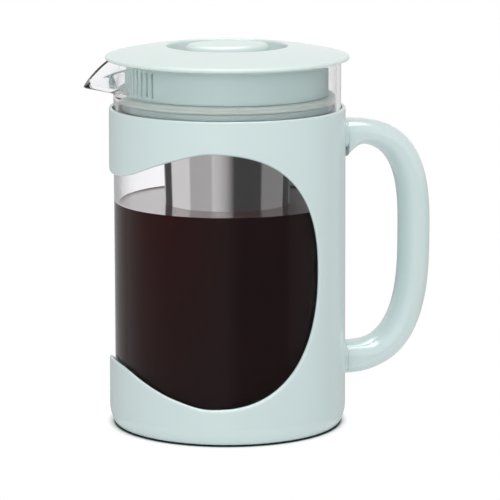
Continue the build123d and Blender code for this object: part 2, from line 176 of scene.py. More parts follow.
def bumped(tree, height, distance, **settings):
    """Normal of a surface that a height from 0 to 1 lifts by up to a distance."""
    values = {"Height": height, "Strength": 1.0, "Distance": distance}
    return add(tree, "ShaderNodeBump", values, **settings).outputs["Normal"]


def node_group(name, kind, inputs, outputs):
    """New group of nodes, with the outputs of its input node."""
    tree = bpy.data.node_groups.new(name, kind)
    for way, sockets in (("INPUT", inputs), ("OUTPUT", outputs)):
        for socket, value_kind in sockets.items():
            tree.interface.new_socket(socket, in_out=way, socket_type="NodeSocket" + value_kind)
    return tree, tree.nodes.new("NodeGroupInput").outputs


def new_material(name):
    """New material, with its nodes and its shader."""
    material = bpy.data.materials.new(name)
    material.use_nodes = True
    tree = material.node_tree
    return material, tree, tree.nodes["Principled BSDF"]


def srgb(red, green, blue):
    """Linear colour of a colour given in 0 to 255."""
    linear = []
    for level in (red / 255, green / 255, blue / 255):
        linear.append(level / 12.92 if level <= 0.04045 else ((level + 0.055) / 1.055) ** 2.4)
    return (*linear, 1)


def moulded_grain():
    """Group for moulded surfaces: slow clouds in colour and gloss, and a fine skin grain."""
    inputs = {"Color": "Color", "Cloud Color": "Color", "Cloud Scale": "Float", "Grain Scale": "Float",
              "Roughness": "Float", "Spread": "Float"}
    outputs = {"Color": "Color", "Roughness": "Float", "Height": "Float"}
    tree, given = node_group("moulded_grain", "ShaderNodeTree", inputs, outputs)
    clouds = noise(tree, given["Cloud Scale"], 3.0)
    swing = maths(tree, "SUBTRACT", clouds, 0.5)
    add(tree, "NodeGroupOutput", {
        "Color": mixed(tree, clouds, given["Color"], given["Cloud Color"]),
        "Roughness": maths(tree, "MULTIPLY_ADD", swing, given["Spread"], given["Roughness"]),
        "Height": noise(tree, given["Grain Scale"], 2.0),
    })
    return tree


grain_group = moulded_grain()
moulded_cloud_scale = 18


def moulded(name, colour, cloud_colour, roughness, spread, grain_scale, grain_depth, more):
    """Material of a moulded plastic or silicone piece, with more inputs of its shader."""
    material, tree, shader = new_material(name)
    grain = add(tree, "ShaderNodeGroup", {
        "Color": colour, "Cloud Color": cloud_colour, "Cloud Scale": moulded_cloud_scale,
        "Grain Scale": grain_scale, "Roughness": roughness, "Spread": spread,
    }, node_tree=grain_group).outputs
    fill(shader, {
        "Base Color": grain["Color"], "Roughness": grain["Roughness"],
        "Normal": bumped(tree, grain["Height"], grain_depth), **more,
    })
    return material


def band(low, high, inner_r, *roundings):
    """Outline of a ring or disc that fills a piece's box, with the roundings of its four corners."""
    corners = ((inner_r, low.z), (high.x, low.z), (high.x, high.z), (inner_r, high.z))
    return rounded([(*corner, rounding) for corner, rounding in zip(corners, roundings)])


# The pad's dark teal is partly the silicone's own colour and partly painted shade, darkened to deepen the
# shadow gap under the sleeve's edge.
foot_rubber = moulded("foot_silicone", srgb(52, 84, 87), srgb(46, 77, 80), 0.6, 0.15, 2600, 0.00002, {})
pad_low, pad_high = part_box("foot_pad")
foot_edge = 0.0005
foot_outline = band(pad_low, pad_high, 0, 0, foot_edge, 0, 0)
place(turned("foot_pad_disc", foot_outline), foot_rubber, "sleeve_body", "foot_pad")


# Sleeve
# A cup of glossy injection moulded plastic that the glass stands in, with a slight draft.
# One window wraps round its spout side, and two raised seats on its other side take the handle.
sleeve_low, sleeve_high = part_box("sleeve")
sleeve_top_z = sleeve_high.z
sleeve_foot_z = sleeve_low.z
wall_draft = 0.0006
wall_low_r = sleeve_high.y
wall_top_r = wall_low_r - wall_draft
wall_low_z = 0.010
wall_inner_r = 0.05735
corner_r = 0.01758
foot_round = 0.0009
rim_round = 0.0008
floor_z = 0.0042
floor_round = 0.003
recess_r = pad_high.x + 0.00005
window_crest_x = -0.024
window_end_x = 0.0328
window_top_z = 0.14525
window_mid_z = 0.0842
window_low_z = 0.0188
window_power = 2.3
window_spout_top_z = 0.1287
window_spout_low_z = 0.0358
window_edge = 0.0016
window_edge_steps = 5
outer_rows = 22
inner_rows = 14
# The window's two arms, by points of a share of their way, a share of their drop and the slope there
top_arm = ((0, 0, 0), (0.4, 0.218, 0.802), (0.8, 0.697, 1.855), (1, 1, 1.872))
low_arm = ((0, 0, 0), (0.4, 0.206, 0.746), (0.8, 0.678, 1.636), (1, 1, 0.8))
window_crest_turn = acos(window_crest_x / wall_low_r)


def between(start, end, share):
    return start + (end - start) * share


def arm_share(arm, along):
    """Share of an arm's drop at a share of its way, on a smooth curve through its points."""
    for (x0, y0, slope0), (x1, y1, slope1) in zip(arm, arm[1:]):
        if along <= x1 or x1 == 1:
            span = x1 - x0
            way = (along - x0) / span
            return ((2 * way ** 3 - 3 * way ** 2 + 1) * y0 + (way ** 3 - 2 * way ** 2 + way) * span * slope0
                    + (3 * way ** 2 - 2 * way ** 3) * y1 + (way ** 3 - way ** 2) * span * slope1)


def arm_z(x, upper):
    """Height of the window's edge between its crest and the spout side."""
    along = (window_crest_x - x) / (wall_low_r + window_crest_x)
    if upper:
        return between(window_top_z, window_spout_top_z, arm_share(top_arm, along))
    return between(window_low_z, window_spout_low_z, arm_share(low_arm, along))


def wall_r(z, inside=False):
    """Radius of the sleeve's outside or inside."""
    if inside:
        return wall_inner_r
    if z < wall_low_z:
        return wall_low_r - corner_r + sqrt(corner_r ** 2 - (wall_low_z - z) ** 2)
    return between(wall_low_r, wall_top_r, (z - wall_low_z) / (sleeve_top_z - wall_low_z))


def on_wall(turn, z, inside):
    """Point of the wall at a turn from the handle by way of the front."""
    radius = wall_r(z, inside)
    return Vector((radius * cos(turn), -radius * sin(turn), z))


def squarish(angle, power):
    """Point at an angle of a circle that a power draws out to a rounded square."""
    reach = [copysign(abs(value) ** (2 / power), value) for value in (cos(angle), sin(angle))]
    return reach[0], reach[1]


def half_window(upper, inside):
    """Front half of one edge of the window, with the turn that each point has on the wall's rim."""
    edge_z = window_top_z if upper else window_low_z
    side_share = 0.45
    end_steps = 36
    arm_steps = 48
    points = []
    for step in range(end_steps + 1):
        share = step / end_steps
        across, up = squarish(share * pi / 2, window_power)
        z = between(window_mid_z, edge_z, up)
        turn = acos(between(window_crest_x, window_end_x, across) / wall_r(z, inside))
        rim_turn = max(0, (share - side_share) / (1 - side_share)) * window_crest_turn
        points.append((turn, z, rim_turn, min(1, share / side_share)))
    crest_turn = acos(window_crest_x / wall_r(edge_z, inside))
    for step in range(1, arm_steps + 1):
        share = step / arm_steps
        turn = between(crest_turn, pi, share)
        z = arm_z((wall_inner_r if inside else wall_low_r) * cos(turn), upper)
        points.append((turn, z, between(window_crest_turn, pi, share), 1))
    return points


def window_loop(inside):
    """The whole window edge as a closed loop, from the handle end round by its top and back."""
    upper = half_window(True, inside)
    lower = half_window(False, inside)
    loop = [(*point, 1) for point in upper]
    loop += [(2 * pi - turn, z, 2 * pi - rim, side, 1) for turn, z, rim, side in reversed(upper[:-1])]
    loop += [(2 * pi - turn, z, 2 * pi - rim, side, -1) for turn, z, rim, side in lower[1:]]
    loop += [(*point, -1) for point in reversed(lower[1:-1])]
    return loop


def wall_sheet(inside, rows, low_z):
    """The window's edge on one face of the wall, its ways outwards, and rings from it to the rims."""
    loop = window_loop(inside)
    edge = [on_wall(turn, z, inside) for turn, z, rim_turn, side, way in loop]
    outward = []
    for index, point in enumerate(edge):
        tangent = (edge[(index + 1) % len(edge)] - edge[index - 1]).normalized()
        outward.append(tangent.cross(Vector((point.x, point.y, 0)).normalized()))
    sheet = []
    for row in range(rows + 1):
        share = row / rows
        ring = []
        for (turn, z, rim_turn, side, way), point, away in zip(loop, edge, outward):
            start = point + away * window_edge
            start_turn = atan2(-start.y, start.x) % (2 * pi)
            rim_z = sleeve_top_z - rim_round if way > 0 else low_z
            end_z = between(window_mid_z, rim_z, side)
            ring.append(on_wall(between(start_turn, rim_turn, share), between(start.z, end_z, share), inside))
        sheet.append(ring)
    return edge, outward, sheet


def edge_ring(edge, outward, far_edge, angle):
    """Ring on the rounding of the window's edge, at an angle from its face towards the far face."""
    ring = []
    for point, away, far in zip(edge, outward, far_edge):
        through = (far - point).normalized()
        ring.append(point + window_edge * (away * (1 - sin(angle)) + through * (1 - cos(angle))))
    return ring


def sleeve_wall():
    """Wall from the outside's rims, over the window's edge, to the inside's rims."""
    outer_edge, outer_away, outer_sheet = wall_sheet(False, outer_rows, outer_low_z)
    inner_edge, inner_away, inner_sheet = wall_sheet(True, inner_rows, floor_z + floor_round)
    angles = quarter(window_edge_steps)[1:]
    rings = outer_sheet[::-1]
    rings += [edge_ring(outer_edge, outer_away, inner_edge, angle) for angle in angles]
    rings += [edge_ring(inner_edge, inner_away, outer_edge, angle) for angle in reversed(angles)]
    return skin("sleeve_wall", rings + inner_sheet)


def quarter(steps):
    """Angles of a quarter circle, both ends included."""
    return [pi / 2 * step / steps for step in range(steps + 1)]


def arc(centre_r, centre_z, radius, start, end, steps=6):
    """Points of an arc of an outline, by its angles in degrees."""
    points = []
    for step in range(steps + 1):
        angle = radians(between(start, end, step / steps))
        points.append((centre_r + radius * cos(angle), centre_z + radius * sin(angle)))
    return points


# The outside's corner runs into a small rounding at the foot
foot_centre_z = sleeve_foot_z + foot_round
foot_reach = corner_r - foot_round
foot_centre_r = wall_low_r - corner_r + sqrt(foot_reach ** 2 - (wall_low_z - foot_centre_z) ** 2)
foot_start = -degrees(asin((wall_low_z - foot_centre_z) / foot_reach))
outer_low_z = foot_centre_z + foot_round * sin(radians(foot_start))
# The rims have points only where the wall's sheets end
rim_turns = [rim_turn for turn, z, rim_turn, side, way in window_loop(False) if way > 0 and side == 1]
rim_turns = sorted({round(-turn, 9) for turn in rim_turns[:-1]})
rim_outline = arc(wall_r(sleeve_top_z - rim_round) - rim_round, sleeve_top_z - rim_round, rim_round, 0, 90)
rim_outline += arc(wall_inner_r + rim_round, sleeve_top_z - rim_round, rim_round, 90, 180)
under_outline = arc(foot_centre_r, foot_centre_z, foot_round, foot_start, -90)
under_outline += [(recess_r, sleeve_foot_z), (recess_r, pad_high.z), (0, pad_high.z)]
floor_outline = arc(wall_inner_r - floor_round, floor_z + floor_round, floor_round, 0, -90) + [(0, floor_z)]
seat_x = sleeve_high.x
seat_half_w = 0.0105
seat_power = 3.4
seat_root = 0.001
upper_seat = (0.1456, 0.0071)
lower_seat = (0.0294, 0.00785)


def seat(name, middle_z, half_h):
    """Raised seat for a handle's root: flared into the wall, with a softened flat face."""
    rings = [[(wall_r(middle_z) - seat_root, 0, middle_z)]]
    # Rings of the seat by their size and their height over the wall, as shares of its face's
    for size, rise in ((1.2, -0.35), (1.11, 0.02), (1.05, 0.12), (1.015, 0.3), (1.0, 0.6), (1.0, 0.94),
                       (0.99, 1.0)):
        ring = []
        for angle in even_turns(96):
            across, up = squarish(angle, seat_power)
            y = seat_half_w * size * across
            z = middle_z + half_h * size * up
            wall_x = sqrt(wall_r(z) ** 2 - y ** 2)
            ring.append((between(wall_x, seat_x, rise), y, z))
        rings.append(ring)
    return skin(name, [*rings, [(seat_x, 0, middle_z)]])


def joined(name, meshes, weld):
    """One mesh of several, with the points that meet welded."""
    builder = bmesh.new()
    for mesh in meshes:
        builder.from_mesh(mesh)
    return finished(builder, name, weld)


def unseen_in_steel(material, back_y=1.0):
    """Hides what lies in front of a depth from steel inside the glass, which mirrors straight bands then."""
    tree = material.node_tree
    path = tree.nodes.new("ShaderNodeLightPath").outputs
    mirrored = maths(tree, "MINIMUM", path["Glossy Depth"], path["Transmission Depth"])
    axes = apart(tree, piece_space(tree))
    unseen = maths(tree, "MULTIPLY", mirrored, maths(tree, "LESS_THAN", axes["Y"], back_y))
    solid = maths(tree, "SUBTRACT", 1.0, unseen, use_clamp=True)
    fill(tree.nodes["Principled BSDF"], {"Alpha": solid})


sleeve_shell = [sleeve_wall()]
for name, outline in (("rim", rim_outline), ("under", under_outline), ("floor", floor_outline)):
    sleeve_shell.append(skin("sleeve_" + name, [circle(radius, z, rim_turns) for radius, z in outline]))
sleeve_mesh = joined("sleeve_moulding", [
    joined("sleeve_shell", sleeve_shell, weld=2e-6), seat("upper_seat", *upper_seat),
    seat("lower_seat", *lower_seat),
], weld=1e-8)
mint_plastic = moulded("mint_plastic", srgb(202, 218, 217), srgb(198, 214, 214), 0.2, 0.06, 900, 0.000004,
                       {"Specular IOR Level": 0.5, "Coat Weight": 0.2, "Coat Roughness": 0.05})
unseen_in_steel(mint_plastic, back_y=0.017)
place(sleeve_mesh, mint_plastic, "sleeve_body", "sleeve", crease=50)


# Grip ring and cushion
# Two silicone pieces inside the sleeve: a ring in its mouth that grips the glass,
# and a disc on its floor that the glass stands on. Both are pressed in by hand.
soft_white = moulded("white_silicone", srgb(229, 241, 232), srgb(223, 235, 226), 0.5, 0.12, 2200, 0.00001,
                     {"Subsurface Weight": 0.15, "Subsurface Scale": 0.003, "Subsurface Radius": (1, 1, 1)})
ring_low, ring_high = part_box("grip_ring")
ring_inner_r = 0.05715
ring_round = 0.00015
ring_outline = band(ring_low, ring_high, ring_inner_r, ring_round, 0, 0, ring_round)
place(turned("grip_ring_band", ring_outline), soft_white, "sleeve_body", "grip_ring")
cushion_low, cushion_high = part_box("base_cushion")
cushion_round = 0.0004
cushion_outline = band(cushion_low, cushion_high, 0, 0, 0, cushion_round, 0)
place(turned("base_cushion_disc", cushion_outline), soft_white, "sleeve_body", "base_cushion")


# Handle
# A moulded loop of the same plastic, oval in section and wide enough for four fingers.
# It is screwed to the sleeve's seats from inside, and its upper root ends in a free tip.
handle_low, handle_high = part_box("handle")
handle_root_x = handle_low.x
handle_gap_x = handle_root_x + 0.0301
handle_mid_z = 0.0924
handle_top_z = upper_seat[0] + upper_seat[1]
handle_foot_z = lower_seat[0] - lower_seat[1]
gap_top_z = upper_seat[0] - 0.0054
gap_low_z = lower_seat[0] + lower_seat[1]
root_flare = 0.0064
root_flare_x = 0.010
root_blend_x = 0.022
root_round = 0.00015
outer_powers = (2.78, 2.68)
inner_powers = (3.06, 2.92)


def loop_point(angle, reach_x, top_z, low_z, powers):
    """Point of the loop's outline, from its upper root at 90 degrees to its lower one at -90."""
    end_z = top_z if angle > 0 else low_z
    out, up = squarish(radians(abs(angle)), powers[0] if angle > 0 else powers[1])
    return between(handle_root_x, reach_x, out), between(handle_mid_z, end_z, up)


def handle_ring(angle, shrink=1.0, inward=0.0):
    """Section of the loop: an oval, drawn out to a rounded block at its roots."""
    outer_x, outer_z = loop_point(angle, handle_high.x, handle_top_z, handle_foot_z, outer_powers)
    x, z = loop_point(angle, handle_gap_x, gap_top_z, gap_low_z, inner_powers)
    if angle > 0 and x < handle_root_x + root_flare_x:
        z -= root_flare * (1 - (x - handle_root_x) / root_flare_x) ** 2
    middle = Vector(((outer_x + x) / 2 + inward, 0, (outer_z + z) / 2))
    across = Vector(((outer_x - x) / 2, 0, (outer_z - z) / 2)) * shrink
    near_root = max(0, 1 - (outer_x - handle_root_x) / root_blend_x)
    power = between(2, seat_power, near_root * near_root * (3 - 2 * near_root))
    ring = []
    for turn in even_turns(72):
        along, side = squarish(turn, power)
        ring.append(middle + across * along + Vector((0, seat_half_w * shrink * side, 0)))
    return ring


def handle_mesh():
    """Loop whose sections stand closer at its two roots, each with a softened edge to its end face."""
    stations = 150
    crowding = 0.11
    face_share = 0.94
    edge_share = 0.985
    rings = [[Vector((handle_root_x, 0, (handle_top_z + gap_top_z - root_flare) / 2))],
             handle_ring(90, face_share), handle_ring(90, edge_share, root_round)]
    for step in range(1, stations):
        share = step / stations
        rings.append(handle_ring(90 - 180 * (share - crowding * sin(2 * pi * share) / pi)))
    rings += [handle_ring(-90, edge_share, root_round), handle_ring(-90, face_share),
              [Vector((handle_root_x, 0, (handle_foot_z + gap_low_z) / 2))]]
    return skin("handle_moulding", rings)


place(handle_mesh(), mint_plastic, "sleeve_body", "handle", crease=50)


# Carafe
# Clear borosilicate glass, blown in a mould, with the pouring spout drawn out of its hot rim.
# It stands in the sleeve on the cushion, and its fire-polished lip is rounded.
glass_low, glass_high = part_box("glass_carafe")
glass_r = glass_high.x
glass_wall = 0.0022
glass_floor = 0.003
glass_corner = 0.009
punt_r = 0.034
punt_h = 0.0008
punt_edge_w = 0.002
punt_edge_h = 0.00005
glass_rim_z = glass_high.z
lip_round = 0.0009
spout_tip_x = glass_low.x
spout_tip_drop = 0.0108
spout_root_x = -0.053
spout_bend = 0.0016
spout_floor_drop = 0.0156
spout_tip_half = 0.002
spout_tip_floor = 0.0012
spout_blend = 0.0035
spout_blend_start = 0.006
spout_blend_level = 0.12
spout_half_angle = asin(glass_r / hypot(spout_tip_x, spout_tip_half)) - atan2(spout_tip_half, -spout_tip_x)


def spout_share(x):
    return (x - spout_root_x) / (spout_tip_x - spout_root_x)


def spout_lip_z(share):
    """Height of the spout's lip, which dips in a shallow arc to its tip."""
    return glass_rim_z - spout_tip_drop * share + 4 * spout_bend * share * (1 - share)


def lip_z(x):
    """Height of the lip, level round the rim outside the spout."""
    return spout_lip_z(min(1, max(0, spout_share(x))))


def outside_glass(radius, turn, z, inset):
    """Distance, about, from the drawn surface at this inset, negative inside it."""
    x = radius * cos(turn)
    y = radius * sin(turn)
    body = radius - (glass_r - inset)
    side_x = -(glass_r - inset) * sin(spout_half_angle)
    if x > side_x:
        return body
    side_inset = inset / cos(spout_half_angle)
    top_z = spout_lip_z(spout_share(x))
    under_z = glass_rim_z - spout_floor_drop
    tip_under_z = glass_rim_z - spout_tip_drop - spout_tip_floor
    under_z = between(under_z, tip_under_z, (x + glass_r) / (spout_tip_x + glass_r))
    half = max(spout_tip_half / 4, spout_tip_half + (x - spout_tip_x) * tan(spout_half_angle) - side_inset)
    depth = max(spout_tip_floor / 2, top_z - under_z - inset)
    level = max(0, top_z - z) / depth
    beak = (sqrt((y / half) ** 2 + level ** 2) - 1) * min(half, depth)
    beak = max(beak, spout_tip_x + side_inset - x)
    near = max(spout_blend - abs(body - beak), 0) / spout_blend
    # The blend sets in beside the spout's root and a little below the lip
    fade = min(1, (side_x - x) / spout_blend_start) * min(1, max(0, level - spout_blend_level) * 3)
    return min(body, beak) - near * near * spout_blend / 4 * fade


def crossing(inner, outer, measure):
    """Place between two values where a measure turns from negative to positive."""
    for _ in range(26):
        middle = (inner + outer) / 2
        if measure(middle) < 0:
            inner = middle
        else:
            outer = middle
    return (inner + outer) / 2


def glass_column(turn, inset):
    """Profile of the wall at a turn, from its straight part up to just below the lip."""
    pivot_r = 0.044
    pivot_z = glass_rim_z + 0.001
    start_z = glass_rim_z - 0.035
    nearest = 0.040
    farthest = 0.080
    steps = 30
    lip_r = crossing(nearest, farthest, lambda r: outside_glass(
        r, turn, lip_z(r * cos(turn)) - lip_round, inset))
    end_z = lip_z(lip_r * cos(turn)) - lip_round
    first = atan2(pivot_z - start_z, glass_r - inset - pivot_r)
    last = atan2(pivot_z - end_z, lip_r - pivot_r)
    points = []
    for step in range(steps):
        angle = between(first, last, step / steps)
        reach = crossing(0, farthest, lambda s: outside_glass(
            pivot_r + s * cos(angle), turn, pivot_z - s * sin(angle), inset))
        points.append((pivot_r + reach * cos(angle), pivot_z - reach * sin(angle)))
    points.append((lip_r, end_z))
    return points


def lip_column(outer, inner):
    """Rounded bead between the ends of the wall's two profiles."""
    points = []
    steps = 8
    for step in range(1, steps):
        angle = pi * step / steps
        share = (1 - cos(angle)) / 2
        points.append((between(outer[0], inner[0], share),
                       between(outer[1], inner[1], share) + lip_round * sin(angle)))
    return points


def column_rings(columns, turns):
    """Rings through profiles that stand at their turns."""
    rings = []
    for row in zip(*columns):
        rings.append([(radius * cos(turn), radius * sin(turn), z) for (radius, z), turn in zip(row, turns)])
    return rings


def glass_mesh():
    """Glass with its profiles close together round the spout."""
    columns = 260
    steps = 12
    turns = []
    for step in range(columns):
        side = 2 * step / columns - 1
        turns.append(pi + pi * (0.10 * side + 0.90 * side ** 3))
    outside = [glass_column(turn, 0) for turn in turns]
    inside = [glass_column(turn, glass_wall) for turn in turns]
    lip = [lip_column(outer[-1], inner[-1]) for outer, inner in zip(outside, inside)]
    straight_z = outside[0][0][1]
    corner_z = glass_low.z + glass_corner
    inner_r = glass_r - glass_wall
    inner_low_z = glass_low.z + glass_floor
    inner_corner = glass_corner - glass_wall
    under = [(0, glass_low.z + punt_h), (punt_r, glass_low.z + punt_edge_h),
             (punt_r + punt_edge_w, glass_low.z)]
    under += arc(glass_r - glass_corner, corner_z, glass_corner, -90, 0, steps)
    bowl = [(0, inner_low_z)]
    bowl += arc(inner_r - inner_corner, inner_low_z + inner_corner, inner_corner, -90, 0, steps)
    for step in range(1, steps):
        under.append((glass_r, between(corner_z, straight_z, step / steps)))
        bowl.append((inner_r, between(inner_low_z + inner_corner, straight_z, step / steps)))
    rings = [circle(radius, z, turns) for radius, z in under]
    rings += column_rings(outside, turns) + column_rings(lip, turns) + column_rings(inside, turns)[::-1]
    rings += [circle(radius, z, turns) for radius, z in reversed(bowl)]
    return skin("carafe_glass", rings)


def clear_glass():
    material, tree, shader = new_material("clear_glass")
    shader.inputs["Metallic"].default_value = 0
    shader.inputs["Transmission Weight"].default_value = 1
    fill(shader, {
        "Base Color": (0.975, 0.972, 0.985, 1), "Roughness": 0, "IOR": 1.47,
        "Specular Tint": (0.3, 0.3, 0.3, 1), "Normal": bumped(tree, noise(tree, 30.0, 1.0), 0.00002),
    })
    return material


place(glass_mesh(), clear_glass(), "carafe", "glass_carafe", crease=60)


# Coffee
# Cold brew that fills the glass to about two thirds, nearly black, with a red glow painted into its colour
# where light gets in.
# It isn't a piece of the jug: it lies in the glass and goes where the glass goes.
coffee_z = 0.113
coffee_r = glass_r - glass_wall + 0.00006
coffee_climb = 0.0009
coffee_climb_fade = 0.0011
coffee_climb_reach = 0.0042
coffee_climb_steps = 8
coffee_flat_r = 0.045
coffee_side_z = coffee_z - 0.02
coffee_skin = 0.001
coffee_edge = 0.0001
coffee_floor_z = glass_low.z + glass_floor - 0.00005
coffee_corner = glass_corner - glass_wall
coffee_outline = [(0, coffee_floor_z)]
coffee_outline += arc(coffee_r - coffee_corner, coffee_floor_z + coffee_corner, coffee_corner, -90, 0, 10)
coffee_outline += [(coffee_r, coffee_side_z), (coffee_r, coffee_z + coffee_climb)]
for step in range(1, coffee_climb_steps + 1):
    off = coffee_climb_reach * step / coffee_climb_steps
    coffee_outline.append((coffee_r - off, coffee_z + coffee_climb * exp(-off / coffee_climb_fade)))
coffee_outline += [(coffee_flat_r, coffee_z), (0, coffee_z)]


def ramped(tree, value, start, end, low=0.0, high=1.0):
    """Value that goes from low to high while another goes from its start to its end."""
    values = {"Value": value, "From Min": start, "From Max": end, "To Min": low, "To Max": high}
    return add(tree, "ShaderNodeMapRange", values).outputs[0]


def brew(name, colour, cloud_colour, painted_light_colour, roughness, ripple, more):
    """Coffee with slow clouds, a faint ripple, and a painted glow of light in its colour on the sleeve's open
    side, stronger near its top.
    """
    material, tree, shader = new_material(name)
    axes = apart(tree, piece_space(tree))
    clouds = noise(tree, 12.0, 2.0)
    # Painted light: a red glow mixed into the colour on the window's side, stronger towards the top.
    painted_light_side = ramped(tree, axes["X"], -0.01, -0.05)
    painted_light_top = ramped(tree, axes["Z"], 0.03, 0.11, low=0.3)
    clouds_and_painted_light = mixed(tree, maths(tree, "MULTIPLY", painted_light_top, painted_light_side),
                 mixed(tree, clouds, colour, cloud_colour), painted_light_colour)
    fill(shader, {
        "Base Color": clouds_and_painted_light, "Roughness": roughness,
        "Normal": bumped(tree, noise(tree, 60.0, 1.0), ripple), **more,
    })
    unseen_in_steel(material)
    return material


coffee_body = brew("coffee_body", srgb(44, 30, 31), srgb(38, 28, 29), srgb(54, 12, 13), 0.5, 0.000001,
                   {"Specular IOR Level": 0.0})
# The surface's colour, far lighter than the body's, is painted sheen of the same coffee.
coffee_surface_painted_sheen = brew("coffee_surface_painted_sheen", srgb(122, 64, 60), srgb(114, 60, 56), srgb(134, 60, 56), 0.05,
                      0.00001, {"IOR": 1.5, "Specular Tint": (1, 0.86, 0.87, 1), "Coat Weight": 0.7,
                                "Coat Roughness": 0.03})
coffee_mesh = turned("coffee", coffee_outline)
place(coffee_mesh, coffee_body, "carafe", None, crease=60)
# The level surface shines, and its much lighter colour is painted sheen; the sides are seen through the glass
coffee_mesh.materials.append(coffee_surface_painted_sheen)
for face in coffee_mesh.polygons:
    reach = hypot(face.center.x, face.center.y)
    if face.center.z > coffee_z - coffee_skin and reach < coffee_r - coffee_edge:
        face.material_index = 1


# Filter tube
# The upper part of the filter core: thin stainless steel, drawn with a slight taper and polished.
# The mesh frame is welded below it, and the collar is rolled in above.
core_top_z = 0.170
core_low_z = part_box("filter_base")[0].z
core_top_r = 0.033
core_low_r = 0.0285


def core_r(z):
    return between(core_low_r, core_top_r, (z - core_low_z) / (core_top_z - core_low_z))


def core_corner(z, inset=0.0, rounding=0.0):
    """Corner of an outline that follows the core's taper."""
    return core_r(z) - inset, z, rounding


def steel_scratches():
    """Group for worked steel: fine lines round the axis and slow clouds in gloss."""
    tree, given = node_group("steel_lines", "ShaderNodeTree",
                             {"Roughness": "Float", "Spread": "Float", "Line Scale": "Float"},
                             {"Roughness": "Float", "Height": "Float"})
    stretched = add(tree, "ShaderNodeMapping", {"Vector": piece_space(tree), "Scale": (1, 1, 40)})
    swing = maths(tree, "SUBTRACT", noise(tree, 25.0, 2.0), 0.5)
    add(tree, "NodeGroupOutput", {
        "Roughness": maths(tree, "MULTIPLY_ADD", swing, given["Spread"], given["Roughness"]),
        "Height": noise(tree, given["Line Scale"], 3.0, where=stretched.outputs[0]),
    })
    return tree


steel_group = steel_scratches()


def steel(name, colour, roughness, spread, line_depth):
    """Material of worked steel."""
    material, tree, shader = new_material(name)
    lines = add(tree, "ShaderNodeGroup", {"Roughness": roughness, "Spread": spread, "Line Scale": 60},
                node_tree=steel_group).outputs
    fill(shader, {
        "Base Color": colour, "Metallic": 1, "Roughness": lines["Roughness"],
        "Normal": bumped(tree, lines["Height"], line_depth),
    })
    return material


polished = steel("filter_steel", srgb(214, 212, 211), 0.07, 0.04, 0.000002)
tube_low, tube_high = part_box("filter_tube")
tube_wall = 0.0005
tube_edge = 0.0001
flat_margin = 0.0005    # beside the straight wall's two ends, so that it shades straight
tube_outline = rounded([
    core_corner(tube_low.z, 0, tube_edge), core_corner(tube_low.z + flat_margin),
    core_corner(tube_high.z - flat_margin), core_corner(tube_high.z, 0, tube_edge),
    core_corner(tube_high.z, tube_wall, tube_edge), core_corner(tube_low.z, tube_wall, tube_edge),
], steps=2)
place(turned("filter_tube_steel", tube_outline), polished, "filter", "filter_tube")


# Filter frame
# A thin stainless cone, punched with three rows of eight windows with rounded corners.
# It is welded under the tube and holds the mesh.
frame_low_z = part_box("filter_frame")[0].z
frame_columns = 8
frame_rows = 3
frame_wall = 0.0008
frame_band = 0.005
frame_rib = 0.004
hole_round = 0.0012
hole_edge = 0.0001
row_h = (tube_low.z - frame_low_z - frame_band) / frame_rows
column = 2 * pi / frame_columns
flat_r = 0.030    # radius at which the windows are drawn before the cone's taper


def round_pattern():
    """Geometry Nodes tree that repeats a shape about the jug's axis."""
    inputs = {"Geometry": "Geometry", "Count": "Int", "First Turn": "Float", "Pitch": "Float",
              "Material": "Material"}
    tree, given = node_group("round_pattern", "GeometryNodeTree", inputs, {"Geometry": "Geometry"})
    tree.is_modifier = True
    index = tree.nodes.new("GeometryNodeInputIndex").outputs[0]
    turn = maths(tree, "MULTIPLY_ADD", index, given["Pitch"], given["First Turn"])
    about = add(tree, "ShaderNodeCombineXYZ", {"Z": turn})
    points = add(tree, "GeometryNodePoints", {"Count": given["Count"]})
    copies = add(tree, "GeometryNodeInstanceOnPoints", {
        "Points": points.outputs[0], "Instance": given["Geometry"], "Rotation": about.outputs[0],
    })
    real = add(tree, "GeometryNodeRealizeInstances", {"Geometry": copies.outputs[0]})
    dressed = add(tree, "GeometryNodeSetMaterial", {
        "Geometry": real.outputs[0], "Material": given["Material"],
    })
    add(tree, "NodeGroupOutput", {"Geometry": dressed.outputs[0]})
    return tree


pattern_tree = round_pattern()


def repeated(mesh, material, count, first_turn, pitch):
    """Plain mesh of a shape repeated by the round pattern."""
    holder = new_object("pattern_holder", mesh)
    modifier = holder.modifiers.new("round_pattern", "NODES")
    modifier.node_group = pattern_tree
    values = {"Count": count, "First Turn": first_turn, "Pitch": pitch, "Material": material}
    for item in pattern_tree.interface.items_tree:
        if item.in_out == "INPUT" and item.name in values:
            modifier[item.identifier] = values[item.name]
    bpy.context.view_layer.update()
    graph = bpy.context.evaluated_depsgraph_get()
    made = bpy.data.meshes.new_from_object(holder.evaluated_get(graph), depsgraph=graph)
    bpy.data.objects.remove(holder)
    return made


